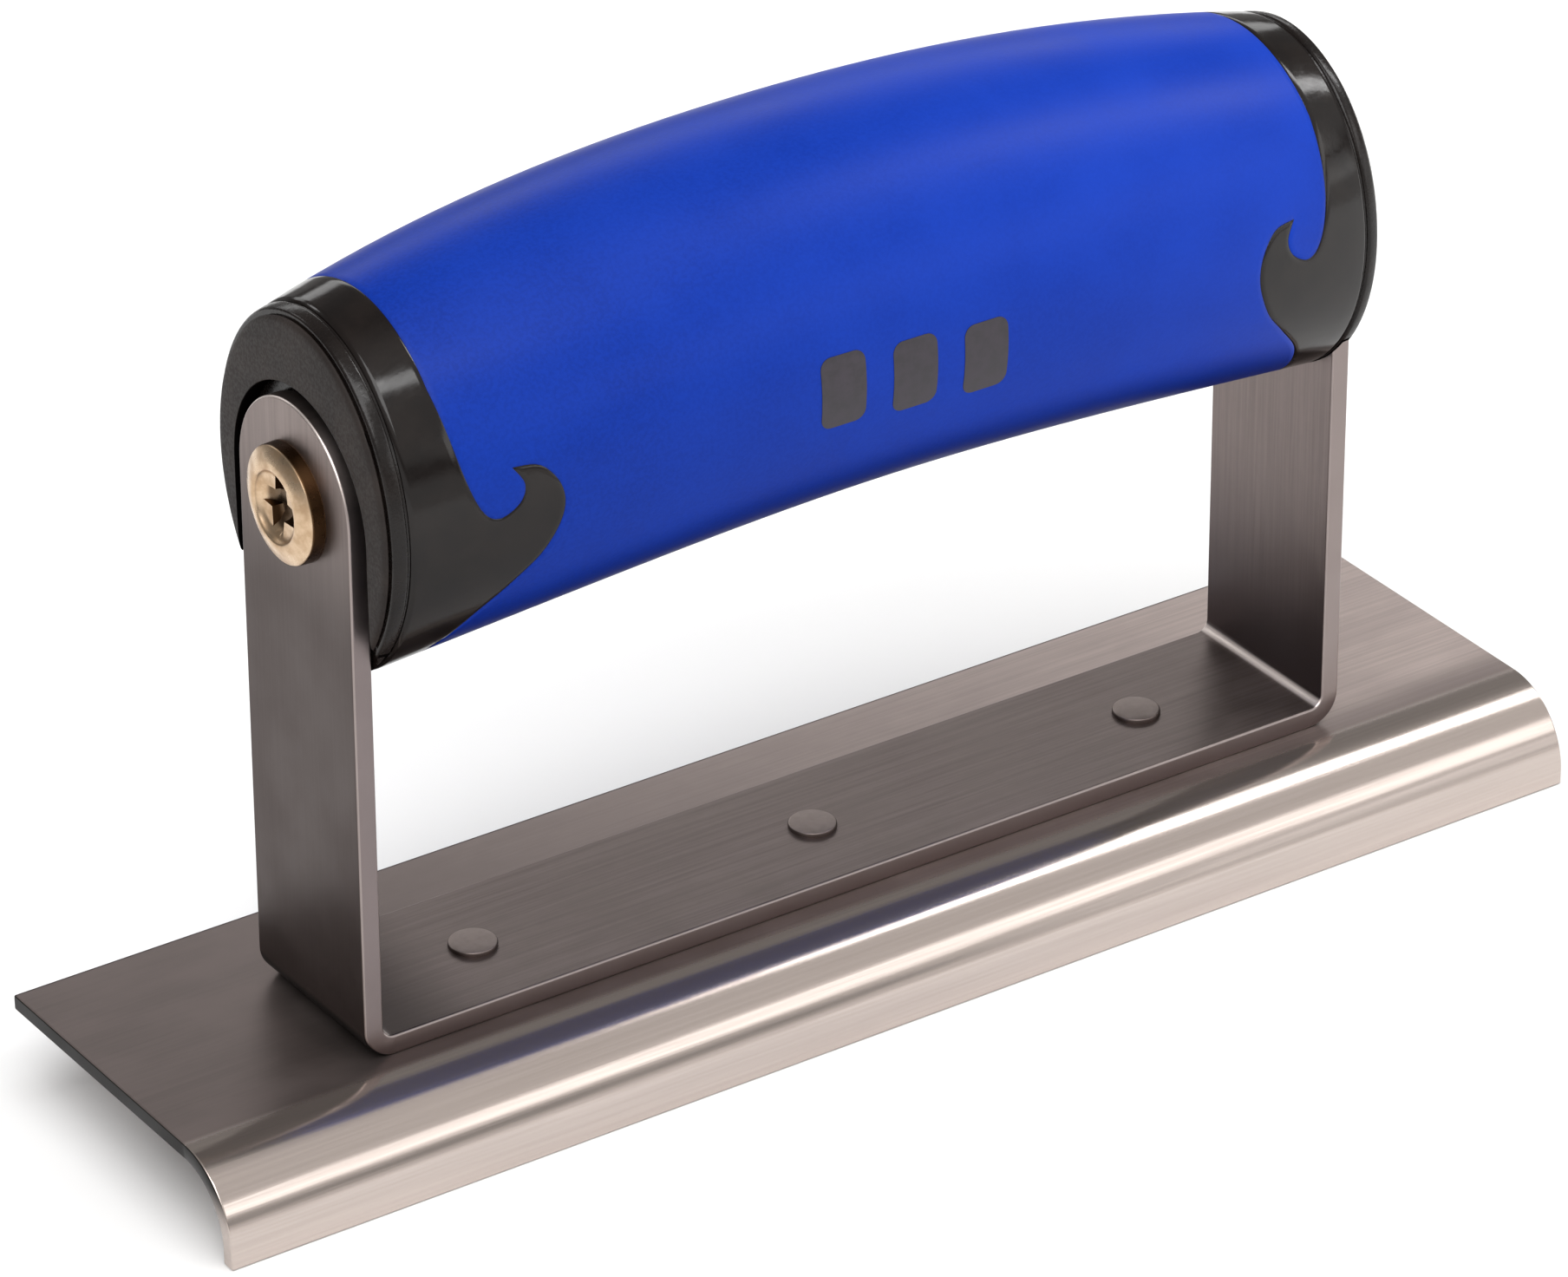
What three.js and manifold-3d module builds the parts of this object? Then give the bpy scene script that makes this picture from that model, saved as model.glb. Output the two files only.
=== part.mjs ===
// Concrete hand edger: a steel blade with a rolled edge and a lip, a riveted U-shaped bracket, and a
// two-colour moulded handle held between the bracket's ears by two screws.
// Millimetres, +Z up. X runs along the blade and Y from the lip to the blade's rear edge.
// X and Y are 0 at the middle of the blade. Z is 0 at the lip's lower edge.

import * as THREE from "three";
import { mergeVertices } from "three/addons/utils/BufferGeometryUtils.js";
import Module from "manifold-3d";

const wasm = await Module();
wasm.setup();

// Blade
const LENGTH = 152.4;
const WIDTH = 38.8;
const SHEET = 1.6;
const ROLL_RADIUS = 7.9; // outside of the rolled edge
const LIP_DEPTH = 9.4; // from the top face down to the lip's lower edge
const TOP = LIP_DEPTH; // height of the blade's top face

// Bracket
const STRAP = 2;
const STRAP_WIDTH = 18.8;
const BRACKET_LENGTH = 111.4;
const BEND_INSIDE = 1.2;
const EAR_TOP = TOP + 63.9;
const SCREW_HOLE_RADIUS = 3.1;

// Rivets
const RIVET_PITCH = 38.2;
const RIVET_SHANK = 1.6;
const RIVET_HEAD = 2.4;
const RIVET_HEAD_HEIGHT = 0.5;
const RIVET_HEAD_BEVEL = 0.3;
const RIVET_TAIL_DEPTH = 0.8; // countersunk tail, flush with the blade's underside

// Handle: an arched barrel with elliptical sections
const AXIS_HEIGHT = TOP + 54.1; // centre of both ends, and of the screws
const ARCH = 5.4;
const END_HALF_DEPTH = 14.5;
const END_HALF_HEIGHT = 17.5;
const MIDDLE_HALF_DEPTH = 19.3;
const MIDDLE_HALF_HEIGHT = 18.4;
const CORE_END = 52.7;
const BAND_START = 48.4; // where the blue grip gives way to the black band
const GRIP_THICKNESS = 3;
// Edge of the black tongue as [distance from the middle, height above the blade], down to the notch and up to
// the hooked tip, then from the tip round the outside of the hook and back to the band.
const NOTCH_EDGE = [[47.5, 61.5], [46.2, 57.6], [44.6, 56.4], [42.6, 57.5], [42, 59.2], [43, 60.9]];
const HOOK_EDGE = [[40.4, 60.6], [38.6, 58.4], [38.4, 55.6], [40, 52], [42.6, 49], [46, 45.1]];
const HOOK_END = 40; // height above the blade at which the hook's outside meets the band
const NOTCH_START = 68; // height above the blade at which the tongue's edge leaves the band
const SIDES = 32; // around each section
const STEPS = 18; // along the handle's outside
const BORE_STEPS = 10; // along the surface between core and grip

// End caps
const CAP_START = 53;
const CAP_RIM = 54.4;
const CAP_FACE = 55.2;
const RIM_ROUND = 0.6;
const POCKET_FLOOR = 53.4;
const POCKET_HALF_WIDTH = 11.2;
const POCKET_TOP = EAR_TOP + 1.1;
const SPIGOT_INSET = 2.6;
const SPIGOT_END = 49;
const BOSS_RADIUS = 7.5;
const BOSS_END = 44;

// Screws and the threaded bushes that they bite into
const SCREW_HEAD = 5.7;
const SCREW_HEAD_WALL = 1.2;
const SCREW_HEAD_HEIGHT = 2.1;
const SCREW_SHANK = 2.4;
const SCREW_LENGTH = 12;
const RECESS_WING = 3.1;
const RECESS_SLOT = 1.6;
const RECESS_DEPTH = 1.4;
const INSERT_RADIUS = 4;
const INSERT_LENGTH = 8;

const GAP = 0.3; // clearance between moulded or fitted pieces
const OVERLAP = 0.2; // how far joined solids of one piece run into each other
const FAR = 200; // longer than the whole tool, for cutters

const STEEL = { color: 0x8d8683, roughness: 0.38, metalness: 1 };
const STRAP_STEEL = { color: 0x857d7b, roughness: 0.45, metalness: 1 };
const BLACK = { color: 0x1e1c1b, roughness: 0.35, metalness: 0 };
const CAP_BLACK = { color: 0x2a2827, roughness: 0.6, metalness: 0 };
const BLUE = { color: 0x1338c4, roughness: 0.5, metalness: 0 };
const BRASS = { color: 0xc9a06a, roughness: 0.3, metalness: 1 };

// ---- solids ----

function solidFrom(geometry) {
  const bare = geometry.clone();
  bare.deleteAttribute("normal");
  bare.deleteAttribute("uv");
  const merged = mergeVertices(bare, 1e-4);
  const corners = [];
  for (let i = 0; i < merged.index.count; i += 3) {
    const [a, b, c] = [0, 1, 2].map((k) => merged.index.getX(i + k));
    if (a !== b && b !== c && c !== a) {
      corners.push(a, b, c);
    }
  }
  const mesh = new wasm.Mesh({
    numProp: 3,
    vertProperties: new Float32Array(merged.attributes.position.array),
    triVerts: new Uint32Array(corners),
  });
  return new wasm.Manifold(mesh);
}

function geometryFrom(solid) {
  const mesh = solid.getMesh();
  const geometry = new THREE.BufferGeometry();
  geometry.setAttribute("position", new THREE.BufferAttribute(mesh.vertProperties, 3));
  geometry.setIndex(new THREE.BufferAttribute(mesh.triVerts, 1));
  geometry.computeVertexNormals();
  return geometry;
}

function extruded(shape, length, curveSegments) {
  const settings = { depth: length, bevelEnabled: false, curveSegments };
  return new THREE.ExtrudeGeometry(shape, settings).translate(0, 0, -length / 2);
}

// A shape drawn in (Y, Z), extruded along X.
function alongX(shape, length, curveSegments = 12) {
  const turn = new THREE.Matrix4().set(0, 0, 1, 0, 1, 0, 0, 0, 0, 1, 0, 0, 0, 0, 0, 1);
  return solidFrom(extruded(shape, length, curveSegments).applyMatrix4(turn));
}

// A shape drawn in (X, Z), extruded along Y.
function alongY(shape, length, curveSegments = 12) {
  return solidFrom(extruded(shape, length, curveSegments).rotateX(Math.PI / 2));
}

// A profile of [radius, height] pairs turned about Z.
function turnedZ(profile, segments) {
  const points = profile.map(([radius, height]) => new THREE.Vector2(radius, height));
  return solidFrom(new THREE.LatheGeometry(points, segments).rotateX(Math.PI / 2));
}

// The same, turned about X, with the profile's heights pointing outwards on the chosen side.
function turnedX(profile, segments, side) {
  const points = profile.map(([radius, height]) => new THREE.Vector2(radius, height));
  return solidFrom(new THREE.LatheGeometry(points, segments).rotateZ((-side * Math.PI) / 2));
}

function rod(radius, start, end) {
  return [
    [0, start],
    [radius, start],
    [radius, end],
    [0, end],
  ];
}

// ---- blade ----

function bladeProfile() {
  const front = -WIDTH / 2;
  const rear = WIDTH / 2;
  const rollY = front + ROLL_RADIUS;
  const rollZ = TOP - ROLL_RADIUS;
  const shape = new THREE.Shape();
  shape.moveTo(rear, TOP);
  shape.lineTo(rollY, TOP);
  shape.absarc(rollY, rollZ, ROLL_RADIUS, Math.PI / 2, Math.PI, false);
  shape.lineTo(front, 0);
  shape.lineTo(front + SHEET, 0);
  shape.lineTo(front + SHEET, rollZ);
  shape.absarc(rollY, rollZ, ROLL_RADIUS - SHEET, Math.PI, Math.PI / 2, true);
  shape.lineTo(rear, TOP - SHEET);
  shape.closePath();
  return shape;
}

const rivetXs = [-RIVET_PITCH, 0, RIVET_PITCH];

function blade() {
  const sole = TOP - SHEET;
  const hole = [
    [0, sole - 1],
    [RIVET_HEAD + GAP, sole - 1],
    [RIVET_HEAD + GAP, sole],
    [RIVET_SHANK + GAP, sole + RIVET_TAIL_DEPTH],
    [RIVET_SHANK + GAP, TOP + 1],
    [0, TOP + 1],
  ];
  let solid = alongX(bladeProfile(), LENGTH, 14);
  for (const x of rivetXs) {
    solid = solid.subtract(turnedZ(hole, 20).translate([x, 0, 0]));
  }
  return solid;
}

function rivet() {
  const sole = TOP - SHEET;
  const floor = TOP + STRAP;
  const profile = [
    [0, sole],
    [RIVET_HEAD, sole],
    [RIVET_SHANK, sole + RIVET_TAIL_DEPTH],
    [RIVET_SHANK, floor],
    [RIVET_HEAD, floor],
    [RIVET_HEAD, floor + RIVET_HEAD_HEIGHT - RIVET_HEAD_BEVEL],
    [RIVET_HEAD - RIVET_HEAD_BEVEL, floor + RIVET_HEAD_HEIGHT],
    [0, floor + RIVET_HEAD_HEIGHT],
  ];
  return turnedZ(profile, 20);
}

// ---- bracket ----

function bracketSide() {
  const outer = BRACKET_LENGTH / 2;
  const inner = outer - STRAP;
  const floor = TOP + STRAP;
  const bendOutside = BEND_INSIDE + STRAP;
  const shape = new THREE.Shape();
  shape.moveTo(-outer, EAR_TOP);
  shape.lineTo(-outer, TOP + bendOutside);
  shape.absarc(-outer + bendOutside, TOP + bendOutside, bendOutside, Math.PI, 1.5 * Math.PI, false);
  shape.lineTo(outer - bendOutside, TOP);
  shape.absarc(outer - bendOutside, TOP + bendOutside, bendOutside, 1.5 * Math.PI, 2 * Math.PI, false);
  shape.lineTo(outer, EAR_TOP);
  shape.lineTo(inner, EAR_TOP);
  shape.lineTo(inner, floor + BEND_INSIDE);
  shape.absarc(inner - BEND_INSIDE, floor + BEND_INSIDE, BEND_INSIDE, 0, -Math.PI / 2, true);
  shape.lineTo(-inner + BEND_INSIDE, floor);
  shape.absarc(-inner + BEND_INSIDE, floor + BEND_INSIDE, BEND_INSIDE, -Math.PI / 2, -Math.PI, true);
  shape.lineTo(-inner, EAR_TOP);
  shape.closePath();
  return shape;
}

// An upright slot with a round top, drawn in (Y, Z) from well below its bottom end.
function archOutline(halfWidth, top, bottom) {
  const shape = new THREE.Shape();
  shape.moveTo(halfWidth, bottom);
  shape.lineTo(halfWidth, top - halfWidth);
  shape.absarc(0, top - halfWidth, halfWidth, 0, Math.PI, false);
  shape.lineTo(-halfWidth, bottom);
  shape.closePath();
  return shape;
}

function bracket() {
  const strap = alongY(bracketSide(), STRAP_WIDTH, 6);
  let solid = strap.intersect(alongX(archOutline(STRAP_WIDTH / 2, EAR_TOP, TOP - 5), FAR, 18));
  const screwHoles = turnedX(rod(SCREW_HOLE_RADIUS, -FAR / 2, FAR / 2), 24, 1);
  solid = solid.subtract(screwHoles.translate([0, 0, AXIS_HEIGHT]));
  for (const x of rivetXs) {
    solid = solid.subtract(turnedZ(rod(RIVET_SHANK + GAP, 0, TOP + 10), 20).translate([x, 0, 0]));
  }
  return solid;
}

// ---- handle ----

// The handle's section at x, drawn in by an inset all round.
function section(x, inset) {
  const along = Math.abs(x) / (BRACKET_LENGTH / 2);
  return {
    x,
    centre: AXIS_HEIGHT + ARCH * (1 - along ** 2),
    halfDepth: MIDDLE_HALF_DEPTH - (MIDDLE_HALF_DEPTH - END_HALF_DEPTH) * along ** 3 - inset,
    halfHeight: MIDDLE_HALF_HEIGHT - (MIDDLE_HALF_HEIGHT - END_HALF_HEIGHT) * along ** 3 - inset,
  };
}

// A closed solid through a list of sections.
function loft(list) {
  const sections = list.toSorted((a, b) => a.x - b.x);
  const points = [];
  const corners = [];
  const ring = (row, side) => row * SIDES + (side % SIDES);
  for (const { x, centre, halfDepth, halfHeight } of sections) {
    for (let side = 0; side < SIDES; side += 1) {
      const angle = (2 * Math.PI * side) / SIDES;
      points.push(x, halfDepth * Math.cos(angle), centre + halfHeight * Math.sin(angle));
    }
  }
  const last = sections.length - 1;
  const firstCentre = points.length / 3;
  points.push(sections[0].x, 0, sections[0].centre);
  points.push(sections[last].x, 0, sections[last].centre);
  for (let side = 0; side < SIDES; side += 1) {
    corners.push(firstCentre, ring(0, side + 1), ring(0, side));
    corners.push(firstCentre + 1, ring(last, side), ring(last, side + 1));
    for (let row = 0; row < last; row += 1) {
      corners.push(ring(row, side), ring(row, side + 1), ring(row + 1, side));
      corners.push(ring(row, side + 1), ring(row + 1, side + 1), ring(row + 1, side));
    }
  }
  const geometry = new THREE.BufferGeometry();
  geometry.setAttribute("position", new THREE.Float32BufferAttribute(points, 3));
  geometry.setIndex(corners);
  return solidFrom(geometry);
}

function barrel(start, end, inset, steps) {
  const sections = [];
  for (let step = 0; step <= steps; step += 1) {
    sections.push(section(start + ((end - start) * step) / steps, inset));
  }
  return loft(sections);
}

// The black zone at one end, drawn in (X, Z): the band, and a tongue that curls up into a hooked tip.
function endZoneOutline(side) {
  const at = ([x, z]) => new THREE.Vector2(side * x, TOP + z);
  const shape = new THREE.Shape();
  shape.moveTo(side * FAR, 0);
  shape.lineTo(side * FAR, FAR);
  shape.lineTo(side * BAND_START, FAR);
  shape.lineTo(side * BAND_START, TOP + NOTCH_START);
  shape.splineThru(NOTCH_EDGE.map(at));
  shape.splineThru([...HOOK_EDGE, [BAND_START, HOOK_END]].map(at));
  shape.lineTo(side * BAND_START, 0);
  return shape.extractPoints(3).shape;
}

// A closed outline pushed outwards, with its corners kept sharp.
function grown(points, distance) {
  const outward = THREE.ShapeUtils.isClockWise(points) ? -distance : distance;
  return points.map((point, index) => {
    const before = points[(index + points.length - 1) % points.length];
    const after = points[(index + 1) % points.length];
    const entering = point.clone().sub(before).normalize();
    const leaving = after.clone().sub(point).normalize();
    const scale = outward / Math.max(1 + entering.dot(leaving), 0.2);
    const normal = new THREE.Vector2(entering.y + leaving.y, -entering.x - leaving.x);
    return point.clone().addScaledVector(normal, scale);
  });
}

function endZones(clearance) {
  const apart = (point, index, all) => index === 0 || point.distanceTo(all[index - 1]) > 0.01;
  const [left, right] = [-1, 1].map((side) => {
    const outline = endZoneOutline(side).filter(apart);
    return alongY(new THREE.Shape(grown(outline, clearance)), FAR);
  });
  return left.add(right);
}

// The part of an end cap that goes into the core: a wide spigot, then a round boss.
function plug(side, clearance) {
  const stations = [SPIGOT_END - clearance, CAP_START + OVERLAP];
  const spigot = loft(stations.map((x) => section(side * x, SPIGOT_INSET - clearance)));
  const boss = turnedX(rod(BOSS_RADIUS + clearance, BOSS_END - clearance, CAP_START), 32, side);
  return spigot.add(boss.translate([0, 0, AXIS_HEIGHT]));
}

function handleCore() {
  const inner = barrel(-CORE_END, CORE_END, GRIP_THICKNESS, BORE_STEPS);
  const solid = barrel(-CORE_END, CORE_END, 0, STEPS).intersect(endZones(0)).add(inner);
  return [-1, 1].reduce((hollowed, side) => hollowed.subtract(plug(side, GAP)), solid);
}

function gripSleeve() {
  const bore = barrel(-CORE_END, CORE_END, GRIP_THICKNESS - GAP, BORE_STEPS);
  return barrel(-CORE_END, CORE_END, 0, STEPS).subtract(endZones(GAP)).subtract(bore);
}

// ---- end caps, inserts and screws ----

function endCap(side) {
  const plate = loft([
    section(side * CAP_START, 0),
    section(side * CAP_RIM, 0),
    section(side * (CAP_RIM + 0.6 * RIM_ROUND), 0.3 * RIM_ROUND),
    section(side * (CAP_RIM + RIM_ROUND), RIM_ROUND),
    section(side * CAP_FACE, 4),
  ]);
  const pocket = alongX(archOutline(POCKET_HALF_WIDTH, POCKET_TOP, 0), FAR, 18);
  const bore = turnedX(rod(INSERT_RADIUS + GAP, 0, FAR), 24, side);
  return plate
    .add(plug(side, 0))
    .subtract(pocket.translate([side * (POCKET_FLOOR + FAR / 2), 0, 0]))
    .subtract(bore.translate([0, 0, AXIS_HEIGHT]));
}

// A threaded bush, with its outer end at the origin.
function insert(side) {
  const body = turnedX(rod(INSERT_RADIUS, -INSERT_LENGTH, 0), 24, side);
  return body.subtract(turnedX(rod(SCREW_SHANK + GAP, -FAR, FAR), 24, side));
}

// A pan-head screw, with the underside of its head at the origin.
function screw(side) {
  const profile = [
    [0, -SCREW_LENGTH],
    [SCREW_SHANK, -SCREW_LENGTH],
    [SCREW_SHANK, 0],
    [SCREW_HEAD, 0],
    [SCREW_HEAD - 0.2, SCREW_HEAD_WALL],
    [SCREW_HEAD - 1.2, 0.85 * SCREW_HEAD_HEIGHT],
    [SCREW_HEAD - 3, SCREW_HEAD_HEIGHT],
    [0, SCREW_HEAD_HEIGHT],
  ];
  const slot = new THREE.BoxGeometry(2 * RECESS_DEPTH, 2 * RECESS_WING, RECESS_SLOT);
  const cross = solidFrom(slot).add(solidFrom(slot.clone().rotateX(Math.PI / 2)));
  return turnedX(profile, 28, side).subtract(cross.translate([side * SCREW_HEAD_HEIGHT, 0, 0]));
}

// ---- assembly ----

const edger = new THREE.Group();
const base = new THREE.Group();
const handle = new THREE.Group();
edger.add(base, handle);

function place(group, name, solid, look, position = [0, 0, 0]) {
  const mesh = new THREE.Mesh(geometryFrom(solid), new THREE.MeshStandardMaterial(look));
  mesh.name = name;
  mesh.position.set(...position);
  group.add(mesh);
}

place(base, "blade", blade(), STEEL);
place(base, "bracket", bracket(), STRAP_STEEL);
for (const [index, name] of ["rivet_left", "rivet_middle", "rivet_right"].entries()) {
  place(base, name, rivet(), STRAP_STEEL, [rivetXs[index], 0, 0]);
}

place(handle, "handle_core", handleCore(), BLACK);
place(handle, "grip_sleeve", gripSleeve(), BLUE);
for (const [name, side] of [["left", -1], ["right", 1]]) {
  place(handle, `end_cap_${name}`, endCap(side), CAP_BLACK);
  place(handle, `insert_${name}`, insert(side), BRASS, [side * CAP_START, 0, AXIS_HEIGHT]);
  place(handle, `screw_${name}`, screw(side), BRASS, [(side * BRACKET_LENGTH) / 2, 0, AXIS_HEIGHT]);
}

export default edger;
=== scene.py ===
"""Concrete hand edger: fine meshes, materials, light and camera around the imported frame.

Lengths inside the mesh code are millimetres in the frame's axes; finished meshes are scaled to metres.
"""

import math

import bmesh
import bpy
from mathutils import Matrix, Vector
from mathutils.geometry import delaunay_2d_cdt
from mathutils.kdtree import KDTree


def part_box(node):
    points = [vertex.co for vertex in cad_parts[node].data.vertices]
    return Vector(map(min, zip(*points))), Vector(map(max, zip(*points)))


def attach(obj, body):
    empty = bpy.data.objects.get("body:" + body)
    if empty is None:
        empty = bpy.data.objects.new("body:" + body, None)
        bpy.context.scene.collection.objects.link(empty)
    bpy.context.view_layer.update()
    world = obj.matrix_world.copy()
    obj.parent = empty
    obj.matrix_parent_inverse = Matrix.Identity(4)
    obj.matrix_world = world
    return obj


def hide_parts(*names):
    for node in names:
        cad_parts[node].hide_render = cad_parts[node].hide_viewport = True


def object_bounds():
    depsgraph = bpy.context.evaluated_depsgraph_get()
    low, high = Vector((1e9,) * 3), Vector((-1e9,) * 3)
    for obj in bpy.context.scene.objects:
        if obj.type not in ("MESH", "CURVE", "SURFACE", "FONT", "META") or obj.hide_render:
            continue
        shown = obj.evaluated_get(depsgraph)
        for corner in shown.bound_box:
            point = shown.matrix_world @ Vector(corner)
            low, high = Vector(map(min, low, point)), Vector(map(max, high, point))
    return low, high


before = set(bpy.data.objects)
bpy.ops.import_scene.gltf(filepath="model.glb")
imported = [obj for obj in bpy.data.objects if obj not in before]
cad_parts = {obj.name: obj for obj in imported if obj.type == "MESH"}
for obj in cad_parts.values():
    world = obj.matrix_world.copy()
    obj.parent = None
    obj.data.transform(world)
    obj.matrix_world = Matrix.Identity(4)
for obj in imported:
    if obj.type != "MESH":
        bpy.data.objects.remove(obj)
cad_low, cad_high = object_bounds()

MM = 0.001


def box_mm(node):
    low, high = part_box(node)
    return low / MM, high / MM


# ---- measures taken from the frame ----

blade_low, blade_high = box_mm("blade")
bracket_low, bracket_high = box_mm("bracket")
rivet_low, rivet_high = box_mm("rivet_right")
grip_high = box_mm("grip_sleeve")[1]
core_high = box_mm("handle_core")[1]
cap_low, cap_high = box_mm("end_cap_right")
screw_low, screw_high = box_mm("screw_right")
insert_high = box_mm("insert_right")[1]

TOP = bracket_low.z  # the blade's top face
SOLE = rivet_low.z  # the blade's underside
SHEET = TOP - SOLE
SPAN = bracket_high.x  # the ears' outer faces
EAR_TOP = bracket_high.z
STRAP_HALF = bracket_high.y
AXIS = (screw_low.z + screw_high.z) / 2
CORE_END = core_high.x
CAP_START = insert_high.x
CAP_FACE = cap_high.x
BOSS_END = cap_low.x
RIVET_HEAD = rivet_high.y
RIVET_XS = [sum(corner.x for corner in box_mm("rivet_" + name)) / 2 for name in ("left", "middle", "right")]

# ---- shape constants shared with the CAD source ----

STRAP = 2.0
BEND_INSIDE = 1.2
ROLL_RADIUS = 7.9
ARCH = 5.4
END_HALF_DEPTH = 14.5
END_HALF_HEIGHT = 17.5
MIDDLE_HALF_DEPTH = grip_high.y
MIDDLE_HALF_HEIGHT = grip_high.z - AXIS - ARCH
BAND_START = 48.4
GRIP_THICKNESS = 3.0
CLEARANCE = 0.3
NOTCH_EDGE = [(47.5, 61.5), (46.2, 57.6), (44.6, 56.4), (42.6, 57.5), (42, 59.2), (43, 60.9)]
HOOK_EDGE = [(40.4, 60.6), (38.6, 58.4), (38.4, 55.6), (40, 52), (42.6, 49), (46, 45.1)]
HOOK_END = 40.0
NOTCH_START = 68.0
SPIGOT_INSET = 2.6
SPIGOT_END = 49.0
BOSS_RADIUS = 7.5
POCKET_FLOOR = 53.4
POCKET_HALF_WIDTH = 11.2
POCKET_TOP = EAR_TOP + 1.1
INSERT_BORE = 4.3
SCREW_HOLE = 3.1
RIVET_HOLE = 1.9
RIVET_SHANK = 1.6
RIVET_TAIL_DEPTH = 0.8
SCREW_SHANK = 2.4
SCREW_LENGTH = 12.0


# ---- mesh building ----

SHARP_DEGREES = 35  # edges that turn more than this stay sharp


class Shell:
    """Faces collected by position. Corners at one place become one vertex."""

    def __init__(self):
        self.index = {}
        self.points = []
        self.faces = []

    def corner(self, point):
        key = tuple(round(value, 4) for value in point)
        if key not in self.index:
            self.index[key] = len(self.points)
            self.points.append(Vector(point))
        return self.index[key]

    def face(self, *points):
        corners = []
        for point in points:
            corner = self.corner(point)
            if corner not in corners:
                corners.append(corner)
        if len(corners) > 2:
            self.faces.append(corners)

    def bridge(self, first, second, closed=True):
        """Quads between two rows of the same number of points."""
        count = len(first)
        for i in range(count if closed else count - 1):
            j = (i + 1) % count
            self.face(first[i], first[j], second[j], second[i])

    def skin(self, rows):
        for first, second in zip(rows, rows[1:]):
            self.bridge(first, second)

    def tube(self, rows):
        """A skin closed by one face at each end."""
        self.skin(rows)
        self.faces.append([self.corner(point) for point in rows[0]])
        self.faces.append([self.corner(point) for point in rows[-1]])

    def fan(self, row, centre):
        for i, point in enumerate(row):
            self.face(point, row[(i + 1) % len(row)], centre)

    def build(self, name):
        mesh = bpy.data.meshes.new(name)
        mesh.from_pydata([point * MM for point in self.points], [], self.faces)
        work = bmesh.new()
        work.from_mesh(mesh)
        bmesh.ops.recalc_face_normals(work, faces=work.faces)
        work.to_mesh(mesh)
        work.free()
        made = bpy.data.objects.new(name, mesh)
        bpy.context.scene.collection.objects.link(made)
        return made


def cut(target, *cutters):
    """Takes the cutters out of the target's mesh and deletes them."""
    for cutter in cutters:
        modifier = target.modifiers.new("cut", "BOOLEAN")
        modifier.operation = "DIFFERENCE"
        modifier.solver = "EXACT"
        modifier.object = cutter
        graph = bpy.context.evaluated_depsgraph_get()
        carved = bpy.data.meshes.new_from_object(target.evaluated_get(graph))
        target.modifiers.clear()
        target.data = carved
        bpy.data.objects.remove(cutter)


def finish_piece(piece, material, nodes, weighted=True):
    mesh = piece.data
    mesh.materials.clear()
    mesh.materials.append(material)
    mesh.shade_smooth()
    mesh.set_sharp_from_angle(angle=math.radians(SHARP_DEGREES))
    if weighted:
        modifier = piece.modifiers.new("normals", "WEIGHTED_NORMAL")
        modifier.keep_sharp = True
        modifier.weight = 60
    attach(piece, "root")
    if nodes:
        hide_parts(*nodes)


def turned(name, profile, segments, place):
    """A closed solid of (radius, height) pairs turned about an axis.

    Calling place(radius, angle, height) gives a point.
    """
    shell = Shell()
    angles = [2 * math.pi * i / segments for i in range(segments)]
    rows = [[place(radius, angle, height) for angle in angles] for radius, height in profile[1:-1]]
    shell.skin(rows)
    shell.fan(rows[0], place(0, 0, profile[0][1]))
    shell.fan(rows[-1], place(0, 0, profile[-1][1]))
    return shell.build(name)


def about_z(x):
    """Turned about an upright line through x."""
    return lambda radius, angle, height: Vector(
        (x + radius * math.cos(angle), radius * math.sin(angle), height)
    )


def about_x(side, start):
    """Turned about the screws' line, with heights measured outwards from start."""
    return lambda radius, angle, out: Vector(
        (side * (start + out), radius * math.cos(angle), AXIS + radius * math.sin(angle))
    )


def catmull(points, step):
    """Points about a step apart along a uniform Catmull-Rom curve through the given ones."""
    out = [Vector(points[0])]
    last = len(points) - 1
    for i in range(last):
        p0, p1, p2, p3 = (Vector(points[min(max(k, 0), last)]) for k in (i - 1, i, i + 1, i + 2))
        v0, v1 = (p2 - p0) / 2, (p3 - p1) / 2
        count = max(1, math.ceil((p2 - p1).length / step))
        for k in range(1, count + 1):
            t = k / count
            cubic = 2 * p1 - 2 * p2 + v0 + v1
            square = 3 * p2 - 3 * p1 - 2 * v0 - v1
            out.append(cubic * t**3 + square * t**2 + v0 * t + p1)
    return out


def line(first, last, step):
    """Evenly spaced points at most a step apart, both ends included."""
    first, last = Vector(first), Vector(last)
    count = max(1, math.ceil((last - first).length / step))
    return [first.lerp(last, i / count) for i in range(count + 1)]


def triangulate(points, fixed):
    """Delaunay triangles over the points' hull, as indices into points, with the fixed edges kept."""
    _, _, triangles, sources, _, _ = delaunay_2d_cdt(points, fixed, [], 0, 1e-5, True)
    return [[min(sources[corner]) for corner in triangle] for triangle in triangles]


# ---- handle surface ----

ROUND = (MIDDLE_HALF_DEPTH + MIDDLE_HALF_HEIGHT) / 2  # turns an angle into a distance along the surface


def section(x, inset=0.0):
    """Centre height, half depth and half height of the handle at x, drawn in by an inset."""
    along = min(abs(x) / SPAN, 1)
    depth = MIDDLE_HALF_DEPTH - (MIDDLE_HALF_DEPTH - END_HALF_DEPTH) * along**3
    height = MIDDLE_HALF_HEIGHT - (MIDDLE_HALF_HEIGHT - END_HALF_HEIGHT) * along**3
    return AXIS + ARCH * (1 - along**2), depth - inset, height - inset


def on_handle(x, angle, inset=0.0):
    """A point of the handle's surface. Angle 0 faces +Y and a quarter turn faces up."""
    centre, depth, height = section(x, inset)
    return Vector((x, depth * math.cos(angle), centre + height * math.sin(angle)))


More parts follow.
